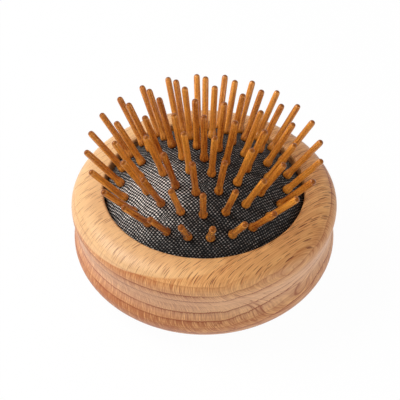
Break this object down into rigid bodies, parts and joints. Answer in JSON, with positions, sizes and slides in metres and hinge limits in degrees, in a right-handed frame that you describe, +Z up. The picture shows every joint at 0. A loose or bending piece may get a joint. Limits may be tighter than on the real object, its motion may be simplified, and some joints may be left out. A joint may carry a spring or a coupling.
{
  "type": "pop-up styling brush",
  "caption": "Palm-held pop-up hairbrush: turned wooden case, domed cloth-faced air cushion that turns inside out, rings of wooden pins, thumb button in the base.",
  "frame": {"origin": "middle of the flat foot that the case stands on", "axes": "+Z up along the case's turning axis, out of the cushion's crown; -Y towards the picture's viewer"},
  "size_m": [0.085, 0.085, 0.0607],
  "materials": {
    "case_beech": "satin oiled beech",
    "button_beech": "satin oiled beech",
    "cushion_cloth": "black plain weave bonded to rubber sheet",
    "pin_wood": "polished hardwood",
    "disc_plastic": "moulded, matt",
    "screw_steel": "zinc plated"
  },
  "bodies": {
    "case": {"turned_body": "case_beech", "air_cushion": "cushion_cloth"},
    "crown": {"pop_button": "button_beech", "backing_disc": "disc_plastic", "button_screw": "screw_steel", "crown_pins": "pin_wood"},
    "second_ring_pin_01": {"second_ring_pin_01": "pin_wood"},
    "second_ring_pin_02": {"second_ring_pin_02": "pin_wood"},
    "second_ring_pin_03": {"second_ring_pin_03": "pin_wood"},
    "second_ring_pin_04": {"second_ring_pin_04": "pin_wood"},
    "second_ring_pin_05": {"second_ring_pin_05": "pin_wood"},
    "second_ring_pin_06": {"second_ring_pin_06": "pin_wood"},
    "second_ring_pin_07": {"second_ring_pin_07": "pin_wood"},
    "second_ring_pin_08": {"second_ring_pin_08": "pin_wood"},
    "second_ring_pin_09": {"second_ring_pin_09": "pin_wood"},
    "second_ring_pin_10": {"second_ring_pin_10": "pin_wood"},
    "second_ring_pin_11": {"second_ring_pin_11": "pin_wood"},
    "second_ring_pin_12": {"second_ring_pin_12": "pin_wood"},
    "third_ring_pin_01": {"third_ring_pin_01": "pin_wood"},
    "third_ring_pin_02": {"third_ring_pin_02": "pin_wood"},
    "third_ring_pin_03": {"third_ring_pin_03": "pin_wood"},
    "third_ring_pin_04": {"third_ring_pin_04": "pin_wood"},
    "third_ring_pin_05": {"third_ring_pin_05": "pin_wood"},
    "third_ring_pin_06": {"third_ring_pin_06": "pin_wood"},
    "third_ring_pin_07": {"third_ring_pin_07": "pin_wood"},
    "third_ring_pin_08": {"third_ring_pin_08": "pin_wood"},
    "third_ring_pin_09": {"third_ring_pin_09": "pin_wood"},
    "third_ring_pin_10": {"third_ring_pin_10": "pin_wood"},
    "third_ring_pin_11": {"third_ring_pin_11": "pin_wood"},
    "third_ring_pin_12": {"third_ring_pin_12": "pin_wood"},
    "third_ring_pin_13": {"third_ring_pin_13": "pin_wood"},
    "third_ring_pin_14": {"third_ring_pin_14": "pin_wood"},
    "third_ring_pin_15": {"third_ring_pin_15": "pin_wood"},
    "third_ring_pin_16": {"third_ring_pin_16": "pin_wood"},
    "third_ring_pin_17": {"third_ring_pin_17": "pin_wood"},
    "third_ring_pin_18": {"third_ring_pin_18": "pin_wood"},
    "outer_ring_pin_01": {"outer_ring_pin_01": "pin_wood"},
    "outer_ring_pin_02": {"outer_ring_pin_02": "pin_wood"},
    "outer_ring_pin_03": {"outer_ring_pin_03": "pin_wood"},
    "outer_ring_pin_04": {"outer_ring_pin_04": "pin_wood"},
    "outer_ring_pin_05": {"outer_ring_pin_05": "pin_wood"},
    "outer_ring_pin_06": {"outer_ring_pin_06": "pin_wood"},
    "outer_ring_pin_07": {"outer_ring_pin_07": "pin_wood"},
    "outer_ring_pin_08": {"outer_ring_pin_08": "pin_wood"},
    "outer_ring_pin_09": {"outer_ring_pin_09": "pin_wood"},
    "outer_ring_pin_10": {"outer_ring_pin_10": "pin_wood"},
    "outer_ring_pin_11": {"outer_ring_pin_11": "pin_wood"},
    "outer_ring_pin_12": {"outer_ring_pin_12": "pin_wood"},
    "outer_ring_pin_13": {"outer_ring_pin_13": "pin_wood"},
    "outer_ring_pin_14": {"outer_ring_pin_14": "pin_wood"},
    "outer_ring_pin_15": {"outer_ring_pin_15": "pin_wood"},
    "outer_ring_pin_16": {"outer_ring_pin_16": "pin_wood"},
    "outer_ring_pin_17": {"outer_ring_pin_17": "pin_wood"},
    "outer_ring_pin_18": {"outer_ring_pin_18": "pin_wood"},
    "outer_ring_pin_19": {"outer_ring_pin_19": "pin_wood"},
    "outer_ring_pin_20": {"outer_ring_pin_20": "pin_wood"},
    "outer_ring_pin_21": {"outer_ring_pin_21": "pin_wood"},
    "outer_ring_pin_22": {"outer_ring_pin_22": "pin_wood"},
    "outer_ring_pin_23": {"outer_ring_pin_23": "pin_wood"},
    "outer_ring_pin_24": {"outer_ring_pin_24": "pin_wood"}
  },
  "joints": [
    {"name": "cushion_pop", "type": "slide", "parent": "case", "child": "crown", "axis": [0, 0, -1], "range_m": [0, 0.0285], "deforming": ["air_cushion"]},
    {"name": "second_ring_pin_01_fold", "type": "hinge", "parent": "crown", "child": "second_ring_pin_01", "pos_m": [0.00762, 0.00886, 0.04103], "axis": [0.7581, -0.6521, 0], "range_deg": [0, 21.81]},
    {"name": "second_ring_pin_02_fold", "type": "hinge", "parent": "crown", "child": "second_ring_pin_02", "pos_m": [0.00217, 0.01148, 0.04103], "axis": [0.9826, -0.1857, 0], "range_deg": [0, 21.81]},
    {"name": "second_ring_pin_03_fold", "type": "hinge", "parent": "crown", "child": "second_ring_pin_03", "pos_m": [-0.00386, 0.01103, 0.04103], "axis": [0.9438, 0.3305, 0], "range_deg": [0, 21.81]},
    {"name": "second_ring_pin_04_fold", "type": "hinge", "parent": "crown", "child": "second_ring_pin_04", "pos_m": [-0.00886, 0.00762, 0.04103], "axis": [0.6521, 0.7581, 0], "range_deg": [0, 21.81]},
    {"name": "second_ring_pin_05_fold", "type": "hinge", "parent": "crown", "child": "second_ring_pin_05", "pos_m": [-0.01148, 0.00217, 0.04103], "axis": [0.1857, 0.9826, 0], "range_deg": [0, 21.81]},
    {"name": "second_ring_pin_06_fold", "type": "hinge", "parent": "crown", "child": "second_ring_pin_06", "pos_m": [-0.01103, -0.00386, 0.04103], "axis": [-0.3305, 0.9438, 0], "range_deg": [0, 21.81]},
    {"name": "second_ring_pin_07_fold", "type": "hinge", "parent": "crown", "child": "second_ring_pin_07", "pos_m": [-0.00762, -0.00886, 0.04103], "axis": [-0.7581, 0.6521, 0], "range_deg": [0, 21.81]},
    {"name": "second_ring_pin_08_fold", "type": "hinge", "parent": "crown", "child": "second_ring_pin_08", "pos_m": [-0.00217, -0.01148, 0.04103], "axis": [-0.9826, 0.1857, 0], "range_deg": [0, 21.81]},
    {"name": "second_ring_pin_09_fold", "type": "hinge", "parent": "crown", "child": "second_ring_pin_09", "pos_m": [0.00386, -0.01103, 0.04103], "axis": [-0.9438, -0.3305, 0], "range_deg": [0, 21.81]},
    {"name": "second_ring_pin_10_fold", "type": "hinge", "parent": "crown", "child": "second_ring_pin_10", "pos_m": [0.00886, -0.00762, 0.04103], "axis": [-0.6521, -0.7581, 0], "range_deg": [0, 21.81]},
    {"name": "second_ring_pin_11_fold", "type": "hinge", "parent": "crown", "child": "second_ring_pin_11", "pos_m": [0.01148, -0.00217, 0.04103], "axis": [-0.1857, -0.9826, 0], "range_deg": [0, 21.81]},
    {"name": "second_ring_pin_12_fold", "type": "hinge", "parent": "crown", "child": "second_ring_pin_12", "pos_m": [0.01103, 0.00386, 0.04103], "axis": [0.3305, -0.9438, 0], "range_deg": [0, 21.81]},
    {"name": "third_ring_pin_01_fold", "type": "hinge", "parent": "crown", "child": "third_ring_pin_01", "pos_m": [0.00758, 0.00881, 0.04118], "axis": [0.7581, -0.6521, 0], "range_deg": [0, 42.26]},
    {"name": "third_ring_pin_02_fold", "type": "hinge", "parent": "crown", "child": "third_ring_pin_02", "pos_m": [0.00411, 0.01087, 0.04118], "axis": [0.9354, -0.3535, 0], "range_deg": [0, 42.26]},
    {"name": "third_ring_pin_03_fold", "type": "hinge", "parent": "crown", "child": "third_ring_pin_03", "pos_m": [0.00014, 0.01162, 0.04118], "axis": [0.9999, -0.0122, 0], "range_deg": [0, 42.26]},
    {"name": "third_ring_pin_04_fold", "type": "hinge", "parent": "crown", "child": "third_ring_pin_04", "pos_m": [-0.00384, 0.01097, 0.04118], "axis": [0.9438, 0.3305, 0], "range_deg": [0, 42.26]},
    {"name": "third_ring_pin_05_fold", "type": "hinge", "parent": "crown", "child": "third_ring_pin_05", "pos_m": [-0.00736, 0.00899, 0.04118], "axis": [0.7738, 0.6334, 0], "range_deg": [0, 42.26]},
    {"name": "third_ring_pin_06_fold", "type": "hinge", "parent": "crown", "child": "third_ring_pin_06", "pos_m": [-0.01, 0.00594, 0.04118], "axis": [0.5105, 0.8599, 0], "range_deg": [0, 42.26]},
    {"name": "third_ring_pin_07_fold", "type": "hinge", "parent": "crown", "child": "third_ring_pin_07", "pos_m": [-0.01142, 0.00216, 0.04118], "axis": [0.1857, 0.9826, 0], "range_deg": [0, 42.26]},
    {"name": "third_ring_pin_08_fold", "type": "hinge", "parent": "crown", "child": "third_ring_pin_08", "pos_m": [-0.01147, -0.00188, 0.04118], "axis": [-0.1616, 0.9869, 0], "range_deg": [0, 42.26]},
    {"name": "third_ring_pin_09_fold", "type": "hinge", "parent": "crown", "child": "third_ring_pin_09", "pos_m": [-0.01014, -0.00569, 0.04118], "axis": [-0.4894, 0.8721, 0], "range_deg": [0, 42.26]},
    {"name": "third_ring_pin_10_fold", "type": "hinge", "parent": "crown", "child": "third_ring_pin_10", "pos_m": [-0.00758, -0.00881, 0.04118], "axis": [-0.7581, 0.6521, 0], "range_deg": [0, 42.26]},
    {"name": "third_ring_pin_11_fold", "type": "hinge", "parent": "crown", "child": "third_ring_pin_11", "pos_m": [-0.00411, -0.01087, 0.04118], "axis": [-0.9354, 0.3535, 0], "range_deg": [0, 42.26]},
    {"name": "third_ring_pin_12_fold", "type": "hinge", "parent": "crown", "child": "third_ring_pin_12", "pos_m": [-0.00014, -0.01162, 0.04118], "axis": [-0.9999, 0.0122, 0], "range_deg": [0, 42.26]},
    {"name": "third_ring_pin_13_fold", "type": "hinge", "parent": "crown", "child": "third_ring_pin_13", "pos_m": [0.00384, -0.01097, 0.04118], "axis": [-0.9438, -0.3305, 0], "range_deg": [0, 42.26]},
    {"name": "third_ring_pin_14_fold", "type": "hinge", "parent": "crown", "child": "third_ring_pin_14", "pos_m": [0.00736, -0.00899, 0.04118], "axis": [-0.7738, -0.6334, 0], "range_deg": [0, 42.26]},
    {"name": "third_ring_pin_15_fold", "type": "hinge", "parent": "crown", "child": "third_ring_pin_15", "pos_m": [0.01, -0.00594, 0.04118], "axis": [-0.5105, -0.8599, 0], "range_deg": [0, 42.26]},
    {"name": "third_ring_pin_16_fold", "type": "hinge", "parent": "crown", "child": "third_ring_pin_16", "pos_m": [0.01142, -0.00216, 0.04118], "axis": [-0.1857, -0.9826, 0], "range_deg": [0, 42.26]},
    {"name": "third_ring_pin_17_fold", "type": "hinge", "parent": "crown", "child": "third_ring_pin_17", "pos_m": [0.01147, 0.00188, 0.04118], "axis": [0.1616, -0.9869, 0], "range_deg": [0, 42.26]},
    {"name": "third_ring_pin_18_fold", "type": "hinge", "parent": "crown", "child": "third_ring_pin_18", "pos_m": [0.01014, 0.00569, 0.04118], "axis": [0.4894, -0.8721, 0], "range_deg": [0, 42.26]},
    {"name": "outer_ring_pin_01_fold", "type": "hinge", "parent": "case", "child": "outer_ring_pin_01", "pos_m": [0.02172, 0.02525, 0.02937], "axis": [0.7581, -0.6521, 0], "range_deg": [0, 66.7]},
    {"name": "outer_ring_pin_02_fold", "type": "hinge", "parent": "case", "child": "outer_ring_pin_02", "pos_m": [0.01444, 0.03001, 0.02937], "axis": [0.9011, -0.4337, 0], "range_deg": [0, 66.7]},
    {"name": "outer_ring_pin_03_fold", "type": "hinge", "parent": "case", "child": "outer_ring_pin_03", "pos_m": [0.00618, 0.03273, 0.02937], "axis": [0.9826, -0.1857, 0], "range_deg": [0, 66.7]},
    {"name": "outer_ring_pin_04_fold", "type": "hinge", "parent": "case", "child": "outer_ring_pin_04", "pos_m": [-0.0025, 0.03321, 0.02937], "axis": [0.9972, 0.075, 0], "range_deg": [0, 66.7]},
    {"name": "outer_ring_pin_05_fold", "type": "hinge", "parent": "case", "child": "outer_ring_pin_05", "pos_m": [-0.01101, 0.03144, 0.02937], "axis": [0.9438, 0.3305, 0], "range_deg": [0, 66.7]},
    {"name": "outer_ring_pin_06_fold", "type": "hinge", "parent": "case", "child": "outer_ring_pin_06", "pos_m": [-0.01877, 0.02752, 0.02937], "axis": [0.8261, 0.5635, 0], "range_deg": [0, 66.7]},
    {"name": "outer_ring_pin_07_fold", "type": "hinge", "parent": "case", "child": "outer_ring_pin_07", "pos_m": [-0.02525, 0.02172, 0.02937], "axis": [0.6521, 0.7581, 0], "range_deg": [0, 66.7]},
    {"name": "outer_ring_pin_08_fold", "type": "hinge", "parent": "case", "child": "outer_ring_pin_08", "pos_m": [-0.03001, 0.01444, 0.02937], "axis": [0.4337, 0.9011, 0], "range_deg": [0, 66.7]},
    {"name": "outer_ring_pin_09_fold", "type": "hinge", "parent": "case", "child": "outer_ring_pin_09", "pos_m": [-0.03273, 0.00618, 0.02937], "axis": [0.1857, 0.9826, 0], "range_deg": [0, 66.7]},
    {"name": "outer_ring_pin_10_fold", "type": "hinge", "parent": "case", "child": "outer_ring_pin_10", "pos_m": [-0.03321, -0.0025, 0.02937], "axis": [-0.075, 0.9972, 0], "range_deg": [0, 66.7]},
    {"name": "outer_ring_pin_11_fold", "type": "hinge", "parent": "case", "child": "outer_ring_pin_11", "pos_m": [-0.03144, -0.01101, 0.02937], "axis": [-0.3305, 0.9438, 0], "range_deg": [0, 66.7]},
    {"name": "outer_ring_pin_12_fold", "type": "hinge", "parent": "case", "child": "outer_ring_pin_12", "pos_m": [-0.02752, -0.01877, 0.02937], "axis": [-0.5635, 0.8261, 0], "range_deg": [0, 66.7]},
    {"name": "outer_ring_pin_13_fold", "type": "hinge", "parent": "case", "child": "outer_ring_pin_13", "pos_m": [-0.02172, -0.02525, 0.02937], "axis": [-0.7581, 0.6521, 0], "range_deg": [0, 66.7]},
    {"name": "outer_ring_pin_14_fold", "type": "hinge", "parent": "case", "child": "outer_ring_pin_14", "pos_m": [-0.01444, -0.03001, 0.02937], "axis": [-0.9011, 0.4337, 0], "range_deg": [0, 66.7]},
    {"name": "outer_ring_pin_15_fold", "type": "hinge", "parent": "case", "child": "outer_ring_pin_15", "pos_m": [-0.00618, -0.03273, 0.02937], "axis": [-0.9826, 0.1857, 0], "range_deg": [0, 66.7]},
    {"name": "outer_ring_pin_16_fold", "type": "hinge", "parent": "case", "child": "outer_ring_pin_16", "pos_m": [0.0025, -0.03321, 0.02937], "axis": [-0.9972, -0.075, 0], "range_deg": [0, 66.7]},
    {"name": "outer_ring_pin_17_fold", "type": "hinge", "parent": "case", "child": "outer_ring_pin_17", "pos_m": [0.01101, -0.03144, 0.02937], "axis": [-0.9438, -0.3305, 0], "range_deg": [0, 66.7]},
    {"name": "outer_ring_pin_18_fold", "type": "hinge", "parent": "case", "child": "outer_ring_pin_18", "pos_m": [0.01877, -0.02752, 0.02937], "axis": [-0.8261, -0.5635, 0], "range_deg": [0, 66.7]},
    {"name": "outer_ring_pin_19_fold", "type": "hinge", "parent": "case", "child": "outer_ring_pin_19", "pos_m": [0.02525, -0.02172, 0.02937], "axis": [-0.6521, -0.7581, 0], "range_deg": [0, 66.7]},
    {"name": "outer_ring_pin_20_fold", "type": "hinge", "parent": "case", "child": "outer_ring_pin_20", "pos_m": [0.03001, -0.01444, 0.02937], "axis": [-0.4337, -0.9011, 0], "range_deg": [0, 66.7]},
    {"name": "outer_ring_pin_21_fold", "type": "hinge", "parent": "case", "child": "outer_ring_pin_21", "pos_m": [0.03273, -0.00618, 0.02937], "axis": [-0.1857, -0.9826, 0], "range_deg": [0, 66.7]},
    {"name": "outer_ring_pin_22_fold", "type": "hinge", "parent": "case", "child": "outer_ring_pin_22", "pos_m": [0.03321, 0.0025, 0.02937], "axis": [0.075, -0.9972, 0], "range_deg": [0, 66.7]},
    {"name": "outer_ring_pin_23_fold", "type": "hinge", "parent": "case", "child": "outer_ring_pin_23", "pos_m": [0.03144, 0.01101, 0.02937], "axis": [0.3305, -0.9438, 0], "range_deg": [0, 66.7]},
    {"name": "outer_ring_pin_24_fold", "type": "hinge", "parent": "case", "child": "outer_ring_pin_24", "pos_m": [0.02752, 0.01877, 0.02937], "axis": [0.5635, -0.8261, 0], "range_deg": [0, 66.7]}
  ],
  "couplings": [
    {"joint": "second_ring_pin_01_fold", "follows": "cushion_pop", "rad_per_m": 13.346},
    {"joint": "second_ring_pin_02_fold", "follows": "cushion_pop", "rad_per_m": 13.346},
    {"joint": "second_ring_pin_03_fold", "follows": "cushion_pop", "rad_per_m": 13.346},
    {"joint": "second_ring_pin_04_fold", "follows": "cushion_pop", "rad_per_m": 13.346},
    {"joint": "second_ring_pin_05_fold", "follows": "cushion_pop", "rad_per_m": 13.346},
    {"joint": "second_ring_pin_06_fold", "follows": "cushion_pop", "rad_per_m": 13.346},
    {"joint": "second_ring_pin_07_fold", "follows": "cushion_pop", "rad_per_m": 13.346},
    {"joint": "second_ring_pin_08_fold", "follows": "cushion_pop", "rad_per_m": 13.346},
    {"joint": "second_ring_pin_09_fold", "follows": "cushion_pop", "rad_per_m": 13.346},
    {"joint": "second_ring_pin_10_fold", "follows": "cushion_pop", "rad_per_m": 13.346},
    {"joint": "second_ring_pin_11_fold", "follows": "cushion_pop", "rad_per_m": 13.346},
    {"joint": "second_ring_pin_12_fold", "follows": "cushion_pop", "rad_per_m": 13.346},
    {"joint": "third_ring_pin_01_fold", "follows": "cushion_pop", "rad_per_m": 25.865},
    {"joint": "third_ring_pin_02_fold", "follows": "cushion_pop", "rad_per_m": 25.865},
    {"joint": "third_ring_pin_03_fold", "follows": "cushion_pop", "rad_per_m": 25.865},
    {"joint": "third_ring_pin_04_fold", "follows": "cushion_pop", "rad_per_m": 25.865},
    {"joint": "third_ring_pin_05_fold", "follows": "cushion_pop", "rad_per_m": 25.865},
    {"joint": "third_ring_pin_06_fold", "follows": "cushion_pop", "rad_per_m": 25.865},
    {"joint": "third_ring_pin_07_fold", "follows": "cushion_pop", "rad_per_m": 25.865},
    {"joint": "third_ring_pin_08_fold", "follows": "cushion_pop", "rad_per_m": 25.865},
    {"joint": "third_ring_pin_09_fold", "follows": "cushion_pop", "rad_per_m": 25.865},
    {"joint": "third_ring_pin_10_fold", "follows": "cushion_pop", "rad_per_m": 25.865},
    {"joint": "third_ring_pin_11_fold", "follows": "cushion_pop", "rad_per_m": 25.865},
    {"joint": "third_ring_pin_12_fold", "follows": "cushion_pop", "rad_per_m": 25.865},
    {"joint": "third_ring_pin_13_fold", "follows": "cushion_pop", "rad_per_m": 25.865},
    {"joint": "third_ring_pin_14_fold", "follows": "cushion_pop", "rad_per_m": 25.865},
    {"joint": "third_ring_pin_15_fold", "follows": "cushion_pop", "rad_per_m": 25.865},
    {"joint": "third_ring_pin_16_fold", "follows": "cushion_pop", "rad_per_m": 25.865},
    {"joint": "third_ring_pin_17_fold", "follows": "cushion_pop", "rad_per_m": 25.865},
    {"joint": "third_ring_pin_18_fold", "follows": "cushion_pop", "rad_per_m": 25.865},
    {"joint": "outer_ring_pin_01_fold", "follows": "cushion_pop", "rad_per_m": 40.838},
    {"joint": "outer_ring_pin_02_fold", "follows": "cushion_pop", "rad_per_m": 40.838},
    {"joint": "outer_ring_pin_03_fold", "follows": "cushion_pop", "rad_per_m": 40.838},
    {"joint": "outer_ring_pin_04_fold", "follows": "cushion_pop", "rad_per_m": 40.838},
    {"joint": "outer_ring_pin_05_fold", "follows": "cushion_pop", "rad_per_m": 40.838},
    {"joint": "outer_ring_pin_06_fold", "follows": "cushion_pop", "rad_per_m": 40.838},
    {"joint": "outer_ring_pin_07_fold", "follows": "cushion_pop", "rad_per_m": 40.838},
    {"joint": "outer_ring_pin_08_fold", "follows": "cushion_pop", "rad_per_m": 40.838},
    {"joint": "outer_ring_pin_09_fold", "follows": "cushion_pop", "rad_per_m": 40.838},
    {"joint": "outer_ring_pin_10_fold", "follows": "cushion_pop", "rad_per_m": 40.838},
    {"joint": "outer_ring_pin_11_fold", "follows": "cushion_pop", "rad_per_m": 40.838},
    {"joint": "outer_ring_pin_12_fold", "follows": "cushion_pop", "rad_per_m": 40.838},
    {"joint": "outer_ring_pin_13_fold", "follows": "cushion_pop", "rad_per_m": 40.838},
    {"joint": "outer_ring_pin_14_fold", "follows": "cushion_pop", "rad_per_m": 40.838},
    {"joint": "outer_ring_pin_15_fold", "follows": "cushion_pop", "rad_per_m": 40.838},
    {"joint": "outer_ring_pin_16_fold", "follows": "cushion_pop", "rad_per_m": 40.838},
    {"joint": "outer_ring_pin_17_fold", "follows": "cushion_pop", "rad_per_m": 40.838},
    {"joint": "outer_ring_pin_18_fold", "follows": "cushion_pop", "rad_per_m": 40.838},
    {"joint": "outer_ring_pin_19_fold", "follows": "cushion_pop", "rad_per_m": 40.838},
    {"joint": "outer_ring_pin_20_fold", "follows": "cushion_pop", "rad_per_m": 40.838},
    {"joint": "outer_ring_pin_21_fold", "follows": "cushion_pop", "rad_per_m": 40.838},
    {"joint": "outer_ring_pin_22_fold", "follows": "cushion_pop", "rad_per_m": 40.838},
    {"joint": "outer_ring_pin_23_fold", "follows": "cushion_pop", "rad_per_m": 40.838},
    {"joint": "outer_ring_pin_24_fold", "follows": "cushion_pop", "rad_per_m": 40.838}
  ]
}
